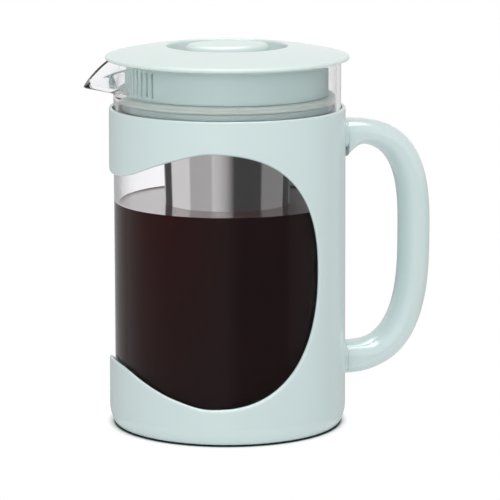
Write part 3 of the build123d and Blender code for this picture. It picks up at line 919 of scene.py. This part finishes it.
def frame_cell(low_z, hole_half):
    """One window with half of the ribs and bands round it, as a piece of a straight tube."""
    half_w = column * flat_r / 2
    half_h = row_h / 2
    hole_h = (row_h - frame_band) / 2
    flat_x = hole_half - hole_round
    flat_z = hole_h - hole_round
    corner_steps = 6
    side_steps = 12
    # Each point of the hole, with the point of the cell's rim that it faces and the way there
    pairs = []
    for side_x, side_z in ((1, 1), (-1, 1), (-1, -1), (1, -1)):
        first = side_x == side_z
        for step in range(corner_steps + 1):
            share = step / corner_steps if first else 1 - step / corner_steps
            away = (side_x * cos(share * pi / 2), side_z * sin(share * pi / 2))
            hole = (side_x * flat_x + hole_round * away[0], side_z * flat_z + hole_round * away[1])
            if share < 0.5:
                rim = (side_x * half_w, side_z * between(flat_z, half_h, 2 * share))
            else:
                rim = (side_x * between(half_w, flat_x, 2 * share - 1), side_z * half_h)
            pairs.append((hole, rim, away))
        if first:
            for step in range(1, side_steps):
                x = side_x * flat_x * (1 - 2 * step / side_steps)
                pairs.append(((x, side_z * hole_h), (x, side_z * half_h), (0, side_z)))
    rings = []
    for grow, depth in ((None, 0), (hole_edge, 0), (0, hole_edge), (0, frame_wall - hole_edge),
                        (hole_edge, frame_wall), (None, frame_wall)):
        flat_ring = [rim if grow is None else (hole[0] + away[0] * grow, hole[1] + away[1] * grow)
                     for hole, rim, away in pairs]
        radius = flat_r - depth
        rings.append([(radius * cos(x / flat_r), radius * sin(x / flat_r), low_z + half_h + z)
                      for x, z in flat_ring])
    rim_angles = sorted({round(rim[0] / flat_r, 9) for hole, rim, away in pairs if rim[1] == half_h})
    return skin("frame_cell", rings), rim_angles


def frame_strip(joint_z, end_z, turns):
    """Half band at an end of the frame, open where it joins the windows' cells."""
    inner_r = flat_r - frame_wall
    outline = [(flat_r, joint_z), (flat_r, end_z), (inner_r, end_z), (inner_r, joint_z)]
    return skin("frame_strip", [circle(radius, z, turns) for radius, z in outline])


def frame_mesh():
    """Frame made straight from its windows' cells and two half bands, and then tapered."""
    half_band = frame_band / 2
    meshes = []
    for row in range(frame_rows):
        low_z = frame_low_z + half_band + row * row_h
        pitch = column * core_r(low_z + row_h / 2)
        cell, rim_angles = frame_cell(low_z, column * flat_r / 2 * (pitch - frame_rib) / pitch)
        meshes.append(repeated(cell, polished, frame_columns, 0.0, column))
    turns = {round(angle + index * column, 7) for angle in rim_angles[:-1] for index in range(frame_columns)}
    meshes.append(frame_strip(frame_low_z + half_band, frame_low_z, sorted(turns)))
    meshes.append(frame_strip(tube_low.z - half_band, tube_low.z, sorted(turns)))
    punched = joined("filter_frame_steel", meshes, weld=2e-6)
    for vertex in punched.vertices:
        radius = hypot(vertex.co.x, vertex.co.y)
        taper = (core_r(vertex.co.z) - flat_r + radius) / radius
        vertex.co.x *= taper
        vertex.co.y *= taper
    return punched


place(frame_mesh(), polished, "filter", "filter_frame", crease=30)


# Filter mesh and base
# Fine woven stainless mesh, rolled into a cone and spot welded inside the frame and the tube.
# Its foot is crimped round the rim of a pressed steel base.
mesh_inset = frame_wall + 0.0001
mesh_wall = 0.0003
mesh_low, mesh_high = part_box("filter_mesh")


def weave():
    """Woven wire: bright crossing wires with small dark openings between them."""
    material, tree, shader = new_material("mesh_steel")
    wires_round = 210.0
    wire_pitch = 0.0009
    axes = apart(tree, piece_space(tree))
    turn = maths(tree, "ARCTAN2", axes["Y"], axes["X"])
    waves = []
    for value, factor in ((turn, wires_round / 2), (axes["Z"], pi / wire_pitch)):
        wave = maths(tree, "SINE", maths(tree, "MULTIPLY", value, factor))
        waves.append(maths(tree, "ABSOLUTE", wave))
    opening = maths(tree, "MULTIPLY", *waves)
    wire = mixed(tree, noise(tree, 40.0, 2.0), srgb(172, 171, 169), srgb(192, 191, 188))
    fill(shader, {
        "Base Color": mixed(tree, ramped(tree, opening, 0.5, 0.75), wire, srgb(70, 69, 68)),
        "Normal": bumped(tree, opening, 0.0001, invert=True), "Metallic": 1, "Roughness": 0.38,
    })
    return material


mesh_outline = rounded([
    core_corner(mesh_low.z, mesh_inset), core_corner(mesh_high.z, mesh_inset),
    core_corner(mesh_high.z, mesh_inset + mesh_wall), core_corner(mesh_low.z, mesh_inset + mesh_wall),
])
place(turned("filter_mesh_weave", mesh_outline), weave(), "filter", "filter_mesh")
base_low, base_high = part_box("filter_base")
base_inset = mesh_inset + mesh_wall + 0.00005
rim_inset = base_inset + 0.0006
dimple_r = 0.021
dimple_h = 0.0007
dimple_slope_w = 0.0012
press_edge = 0.0001
press_round = 0.0002
press_bend = 0.0006
base_round = 0.0012
base_outline = rounded([
    (0, base_low.z + dimple_h, 0), (dimple_r, base_low.z + dimple_h, press_bend),
    (dimple_r + dimple_slope_w, base_low.z, press_bend), core_corner(base_low.z, 0, base_round),
    core_corner(frame_low_z, 0, press_edge), core_corner(frame_low_z, base_inset, press_edge),
    core_corner(base_high.z, base_inset, press_round), core_corner(base_high.z, rim_inset, press_round),
    core_corner(frame_low_z, rim_inset, press_round), (0, frame_low_z, 0),
])
place(turned("filter_base_steel", base_outline), polished, "filter", "filter_base")


# Lid seal
# A silicone ring stretched into the plug's groove, that closes the glass.
# It has two soft ribs with a shallow valley between them.
seal_low, seal_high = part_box("lid_seal")
seal_inner_r = 0.04915
rib = (seal_high.z - seal_low.z) / 4
rib_r = seal_high.x - rib
seal_outline = [(seal_inner_r, seal_high.z), (seal_inner_r, seal_low.z)]
seal_outline += arc(rib_r, seal_low.z + rib, rib, -90, 42, 8)
seal_outline += arc(rib_r, seal_high.z - rib, rib, -42, 90, 8)
place(turned("lid_seal_ring", seal_outline), soft_white, "seal", "lid_seal", crease=60)


# Lid plug
# The skirt that stands in the glass, moulded with a groove for the seal and a lower flange.
# Thirteen slots on its spout side strain the coffee as it pours.
plug_low, plug_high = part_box("lid_plug")
lid_under_z = plug_high.z
plug_r = 0.0507
plug_wall = 0.0025
plug_inner_r = plug_r - plug_wall
plug_plate = 0.002
plate_low_z = lid_under_z - plug_plate
groove_r = 0.049
flange_h = 0.0035
groove_h = 0.0039
groove_low_z = plug_low.z + flange_h
groove_top_z = groove_low_z + groove_h
groove_inner_r = groove_r - 0.002
flange_r = plug_high.y
groove_step = 0.0012
slot_margins = (0.0022, 0.0012)    # from the groove up, and from the plate down
slot_low_z = groove_top_z + slot_margins[0]
slot_high_z = plate_low_z - slot_margins[1]
slot_count = 13
slot_pitch = radians(4.8)
slot_width = 0.0016
hub_r = 0.03845
lid_plastic = moulded("lid_plastic", srgb(211, 223, 220), srgb(207, 220, 217), 0.3, 0.08, 1400, 0.000006,
                      {"Specular IOR Level": 0.45})
# The plug is moulded in the lid's plastic; its lighter colour is painted light that makes up for the light
# the glass takes.
plug_plastic_painted_lighter = moulded("plug_plastic_painted_lighter", srgb(221, 243, 239), srgb(216, 239, 235), 0.3, 0.08, 1400, 0.000006,
                       {"Specular IOR Level": 0.45})
edge_turn = (slot_count - 1) / 2 * slot_pitch + slot_width / 2 / plug_r
plug_outline = rounded([
    (plug_r, lid_under_z, 0), (plug_r, slot_high_z, 0), (plug_r, slot_low_z, 0),
    (plug_r, groove_top_z, 0.0003), (groove_r, groove_top_z, 0), (groove_r, groove_low_z, 0),
    (flange_r, groove_low_z, 0.0004), (flange_r, plug_low.z, 0.001), (groove_inner_r, plug_low.z, 0.0004),
    (groove_inner_r, groove_top_z, 0), (plug_inner_r, groove_top_z + groove_step, 0),
    (plug_inner_r, slot_low_z, 0), (plug_inner_r, slot_high_z, 0), (plug_inner_r, plate_low_z, 0),
    (hub_r, plate_low_z, 0), (hub_r, lid_under_z, 0),
])
near_steps = 40    # across the slots
far_steps = 130    # round the rest
plug_turns = [between(pi - edge_turn, pi + edge_turn, step / near_steps) for step in range(near_steps)]
plug_turns += [between(pi + edge_turn, 3 * pi - edge_turn, step / far_steps) for step in range(far_steps)]


def slotted(mesh):
    """Opens the window for the strainer bars through the plug's skirt."""
    builder = bmesh.new()
    builder.from_mesh(mesh)
    gone = []
    for face in builder.faces:
        middle = face.calc_center_median()
        on_spout_side = abs(atan2(middle.y, -middle.x)) < edge_turn
        on_skirt = hypot(middle.x, middle.y) > groove_inner_r
        if on_spout_side and on_skirt and slot_low_z < middle.z < slot_high_z:
            gone.append(face)
    bmesh.ops.delete(builder, geom=gone, context="FACES")
    bmesh.ops.bridge_loops(builder, edges=[edge for edge in builder.edges if edge.is_boundary])
    return finished(builder, "plug_body", weld=0)


def strainer_bars():
    """Upright bars between the slots, let a little into the plug above and below."""
    inset = 0.00008
    rounding = 0.0003
    overlap = 0.0004
    outer_r = plug_r - inset
    inner_r = plug_inner_r + inset
    half_w = (slot_pitch * plug_r - slot_width) / 2
    outline = rounded([
        (outer_r, -half_w, rounding), (outer_r, half_w, rounding), (inner_r, half_w, rounding),
        (inner_r, -half_w, rounding),
    ], steps=3)
    low_z = slot_low_z - overlap
    high_z = slot_high_z + overlap
    middle_r = (outer_r + inner_r) / 2
    bar = skin("strainer_bar", [
        [(middle_r, 0, low_z)], [(x, y, low_z) for x, y in outline], [(x, y, high_z) for x, y in outline],
        [(middle_r, 0, high_z)],
    ])
    return repeated(bar, plug_plastic_painted_lighter, slot_count - 1, pi - (slot_count / 2 - 1) * slot_pitch, slot_pitch)


plug_body = slotted(turned("plug_skirt", plug_outline, plug_turns))
plug_mesh = joined("lid_plug_moulding", [plug_body, strainer_bars()], weld=1e-8)
place(plug_mesh, plug_plastic_painted_lighter, "lid", "lid_plug")


# Lid cover
# A crowned disc of satin plastic with a round finger dish and an oval pinch grip in the dish.
# It is moulded hollow from below, and welded to the plug's plate.
cover_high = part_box("lid_cover")[1]
lid_r = cover_high.x
lid_edge_t = 0.0019
lid_rise = 0.006
lid_power = 2.5
lid_wall = 0.0022
dish_r = 0.030
dish_depth = 0.0083
dish_floor = 0.002
dish_lip = 0.0012
dish_corner = 0.001
grip_half = (0.0215, 0.016)
grip_top_round = 0.003
grip_foot_round = 0.0009
grip_draft = tan(radians(2))
boss_r = dish_r + lid_wall
pocket_gap = 0.0025
grip_inner_draft = 0.0006


def crown(radius):
    return cover_high.z - lid_rise * (radius / lid_r) ** lid_power


def cover_rings():
    """Rings as half lengths along x and y and a height, from the grip's top round to below it."""
    dish_z = crown(dish_r) - dish_depth
    top_z = cover_high.z
    narrow = grip_draft * (top_z - dish_z)
    flat_half = [half - narrow - grip_top_round for half in grip_half]
    rings = [(0, 0, top_z)]
    rings += [(flat_half[0] * share, flat_half[1] * share, top_z) for share in (0.2, 0.4, 0.6, 0.75, 0.88)]
    grip = []
    for angle in quarter(8):
        grip.append((grip_top_round * (sin(angle) - 1) - narrow, top_z - grip_top_round * (1 - cos(angle))))
    for angle in quarter(6):
        grip.append((grip_foot_round * (1 - cos(angle)), dish_z + grip_foot_round * (1 - sin(angle))))
    rings += [(grip_half[0] + grow, grip_half[1] + grow, z) for grow, z in grip]
    foot_half = [half + grip_foot_round for half in grip_half]
    for share in (0.15, 0.3, 0.5, 0.7, 0.85):
        half_x, half_y = (between(half, dish_r - dish_corner, share) for half in foot_half)
        rings.append((half_x, half_y, dish_z))
    edge_r = lid_edge_t / 2
    disc_r = lid_r - edge_r
    outline = arc(dish_r - dish_corner, dish_z + dish_corner, dish_corner, -90, 0, 5)
    outline += arc(dish_r + dish_lip, crown(dish_r) - dish_lip, dish_lip, 180, 92, 7)
    crown_steps = 12
    for step in range(1, crown_steps + 1):
        radius = between(dish_r + dish_lip, disc_r, step / crown_steps)
        outline.append((radius, crown(radius)))
    outline += arc(disc_r, (lid_under_z + crown(disc_r)) / 2, edge_r, 78, -90, 8)
    pocket = (plug_inner_r, (plug_inner_r + boss_r + pocket_gap) / 2, boss_r + pocket_gap)
    outline.append((pocket[0], lid_under_z))
    outline += [(radius, crown(radius) - lid_wall) for radius in pocket]
    outline += [(pocket[-1], lid_under_z), (boss_r, lid_under_z), (boss_r, dish_z - dish_floor)]
    rings += [(radius, radius, z) for radius, z in outline]
    inner_grip = ((lid_wall, dish_z - dish_floor), (lid_wall + grip_inner_draft, top_z - lid_wall))
    for inset, z in inner_grip:
        rings.append((grip_half[0] - inset, grip_half[1] - inset, z))
    rings.append((0, 0, top_z - lid_wall))
    return rings


def cover_mesh():
    rings = []
    for half_x, half_y, z in cover_rings():
        points = [(half_x * cos(turn), half_y * sin(turn), z) for turn in even_turns(192)]
        rings.append(points if half_x else [(0, 0, z)])
    return skin("lid_cover_moulding", rings)


place(cover_mesh(), lid_plastic, "lid", "lid_cover", crease=50)


# Filter collar and socket
# The filter hangs by a moulded collar, whose three lugs turn into a bayonet ring under the lid.
# A silicone O-ring in the collar's top closes the joint.
for node in ("filter_collar", "filter_socket"):
    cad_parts[node].material_slots[0].material = lid_plastic
oring_low, oring_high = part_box("filter_seal")
oring_r = (oring_high.z - oring_low.z) / 2
oring_outline = arc(oring_high.x - oring_r, oring_low.z + oring_r, oring_r, 0, 360, 16)[:-1]
place(turned("filter_seal_ring", oring_outline), soft_white, "filter", "filter_seal",
      crease=60)


# Handle screws
# Two countersunk stainless screws, driven from inside the sleeve into the handle's roots.
# Only the glass hides their heads, so that they can be reached once it is lifted out.
screw_steel = steel("screw_steel", srgb(190, 190, 188), 0.3, 0.1, 0.000004)
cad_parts["handle_screws"].material_slots[0].material = screw_steel


# Studio
# A small white table top that keeps the jug's shadow, with a painted shadow right under its edge, in a white
# room with plain soft light.
# What shines mirrors a ring of light and dark panels that stands round the table.
camera_turn = radians(-16)
table_r = 0.3
painted_contact_shadow = (0.0572, 0.0585)    # radii at which the painted shadow under the jug's edge ends
white_line = (0.0582, 0.0615)    # radii at which the camera's plain white sets in
ring_level = -0.21
ring_half = (0.13, 0.22)
overhead = (0.82, 0.92)


def grey(level):
    return level, level, level, 1


def make_floor():
    """Table top, with shade and a painted shadow close to the jug, and plain white to the camera beyond it.
    """
    mesh = turned("table_top", [(0, 0), (0.05, 0), (table_r, 0)], even_turns(96))
    floor = new_object("table_top", mesh)
    material, tree, shader = new_material("table_top")
    mesh.materials.append(material)
    away = add(tree, "ShaderNodeVectorMath", {0: piece_space(tree)}, operation="LENGTH").outputs["Value"]
    beyond = ramped(tree, away, *white_line)
    fill(shader, {
        # Painted shadow: the colour turns dark teal under the jug's edge.
        "Base Color": mixed(tree, ramped(tree, away, *painted_contact_shadow), srgb(60, 88, 90), grey(0.9)),
        "Roughness": 0.9, "Specular IOR Level": 0,
    })
    path = tree.nodes.new("ShaderNodeLightPath").outputs
    seen = maths(tree, "MAXIMUM", path["Is Camera Ray"], path["Is Transmission Ray"])
    white = add(tree, "ShaderNodeEmission", {"Color": grey(1), "Strength": 1.0})
    shown = add(tree, "ShaderNodeMixShader", {
        0: maths(tree, "MULTIPLY", seen, beyond), 1: shader.outputs[0], 2: white.outputs[0],
    })
    # Gloss looks past the table's rim at the panels, so that no edge of it is mirrored
    glossy = maths(tree, "MULTIPLY", path["Glossy Depth"], beyond, use_clamp=True)
    open_rim = tree.nodes.new("ShaderNodeBsdfTransparent")
    whole = add(tree, "ShaderNodeMixShader", {0: glossy, 1: shown.outputs[0], 2: open_rim.outputs[0]})
    fill(tree.nodes["Material Output"], {"Surface": whole.outputs[0]})


make_floor()


def make_world():
    """White to the camera, panels to what shines, and plain soft light to all else."""
    world = bpy.data.worlds.new("studio")
    bpy.context.scene.world = world
    world.use_nodes = True
    tree = world.node_tree
    path = tree.nodes.new("ShaderNodeLightPath").outputs
    where = tree.nodes.new("ShaderNodeTexCoord").outputs["Generated"]
    faced = add(tree, "ShaderNodeVectorRotate", {"Vector": where, "Angle": -camera_turn},
                rotation_type="Z_AXIS")
    axes = apart(tree, faced.outputs[0])
    azimuth = maths(tree, "ARCTAN2", axes["X"], maths(tree, "MULTIPLY", axes["Y"], -1.0))
    ramp = add(tree, "ShaderNodeValToRGB", {"Fac": ramped(tree, azimuth, -pi, pi)})
    panels = ramp.outputs[0]
    stops = ramp.color_ramp.elements
    # Panels by their turn from the camera, to its right, each with its brightness
    for angle, level in (
        (-180, 0.5), (-122, 0.45), (-118, 0.9), (-73, 0.9), (-70, 0.54), (-29, 0.56), (-26, 0.78),
        (-13, 0.65), (-2, 0.48), (9, 0.18), (13, 0.07), (63, 0.07), (67, 0.29), (123, 0.3), (127, 0.7),
        (180, 0.9),
    ):
        stops.new((angle + 180) / 360).color = grey(level)
    stops.remove(stops[0])
    stops.remove(stops[-1])
    # Steel inside the glass mirrors one more dark panel at either end of the ring
    left_panel = maths(tree, "COMPARE", azimuth, radians(-140), radians(17))
    right_panel = maths(tree, "COMPARE", azimuth, radians(152), radians(29))
    dark = maths(tree, "MULTIPLY", maths(tree, "ADD", left_panel, right_panel),
                 maths(tree, "GREATER_THAN", path["Transmission Depth"], 3))
    behind_glass = mixed(tree, dark, panels, grey(0.07))
    # Outer walls mirror dimmer panels
    in_front = mixed(tree, 1.0, panels, grey(0.55), blend_type="DARKEN")
    ring = mixed(tree, path["Transmission Depth"], in_front, behind_glass)
    # The panels stand at the height that upright walls mirror, with white above and below.
    # Walls that the coffee mirrors in its turn mirror the same panels.
    twice = maths(tree, "GREATER_THAN", path["Glossy Depth"], 1)
    lowered = maths(tree, "MULTIPLY", maths(tree, "ABSOLUTE", axes["Z"]), -1)
    level = add(tree, "ShaderNodeMix", {"Factor": twice, "A": axes["Z"], "B": lowered}).outputs[0]
    off_ring = maths(tree, "ABSOLUTE", maths(tree, "SUBTRACT", level, ring_level))
    mirrored = mixed(tree, ramped(tree, off_ring, *ring_half), ring, grey(0.95))
    mirrored = mixed(tree, ramped(tree, axes["Z"], *overhead), mirrored, grey(8))
    glossy = maths(tree, "GREATER_THAN", path["Glossy Depth"], 0.5)
    matt = maths(tree, "GREATER_THAN", path["Diffuse Depth"], 0.5)
    seen = maths(tree, "MAXIMUM", path["Is Camera Ray"], path["Is Glossy Ray"])
    seen = maths(tree, "MAXIMUM", seen, path["Is Transmission Ray"])
    shown = maths(tree, "SUBTRACT", seen, matt, use_clamp=True)
    room = ramped(tree, axes["Z"], -0.4, 0.1, low=0.95, high=0.72)
    lit = mixed(tree, shown, room, mixed(tree, glossy, grey(1), mirrored))
    fill(tree.nodes["Background"], {"Color": lit})


make_world()


def make_lamp(name, azimuth, height, distance, size, power, mirrored=False):
    """Square lamp aimed at the jug, at a turn in degrees from the camera, to its right."""
    lamp = bpy.data.lights.new(name, "AREA")
    lamp.size = size
    lamp.energy = power
    holder = new_object(name, lamp)
    turn = radians(azimuth) + camera_turn - pi / 2
    holder.location = (distance * cos(turn), distance * sin(turn), height)
    aim = Vector((0, 0, 0.1)) - holder.location
    holder.rotation_euler = aim.to_track_quat("-Z", "Y").to_euler()
    holder.visible_glossy = mirrored


make_lamp("front_lamp", -3, 0.7, 1.5, 0.8, 8)
make_lamp("top_lamp", 35, 1.4, 0.3, 0.25, 3.1, mirrored=True)


def make_camera():
    """Camera 1.5 m away, that looks down by 10.5 degrees with the jug turned by 16."""
    view = bpy.data.cameras.new("camera")
    view.lens = 215.6
    view.sensor_width = 36
    view.clip_start = 0.05
    view.clip_end = 50
    holder = new_object("camera", view)
    holder.location = (-0.39933, -1.43398, 0.3625)
    holder.rotation_euler = (radians(79.55), 0, camera_turn)
    bpy.context.scene.camera = holder


make_camera()
bpy.context.scene.view_settings.view_transform = "Standard"
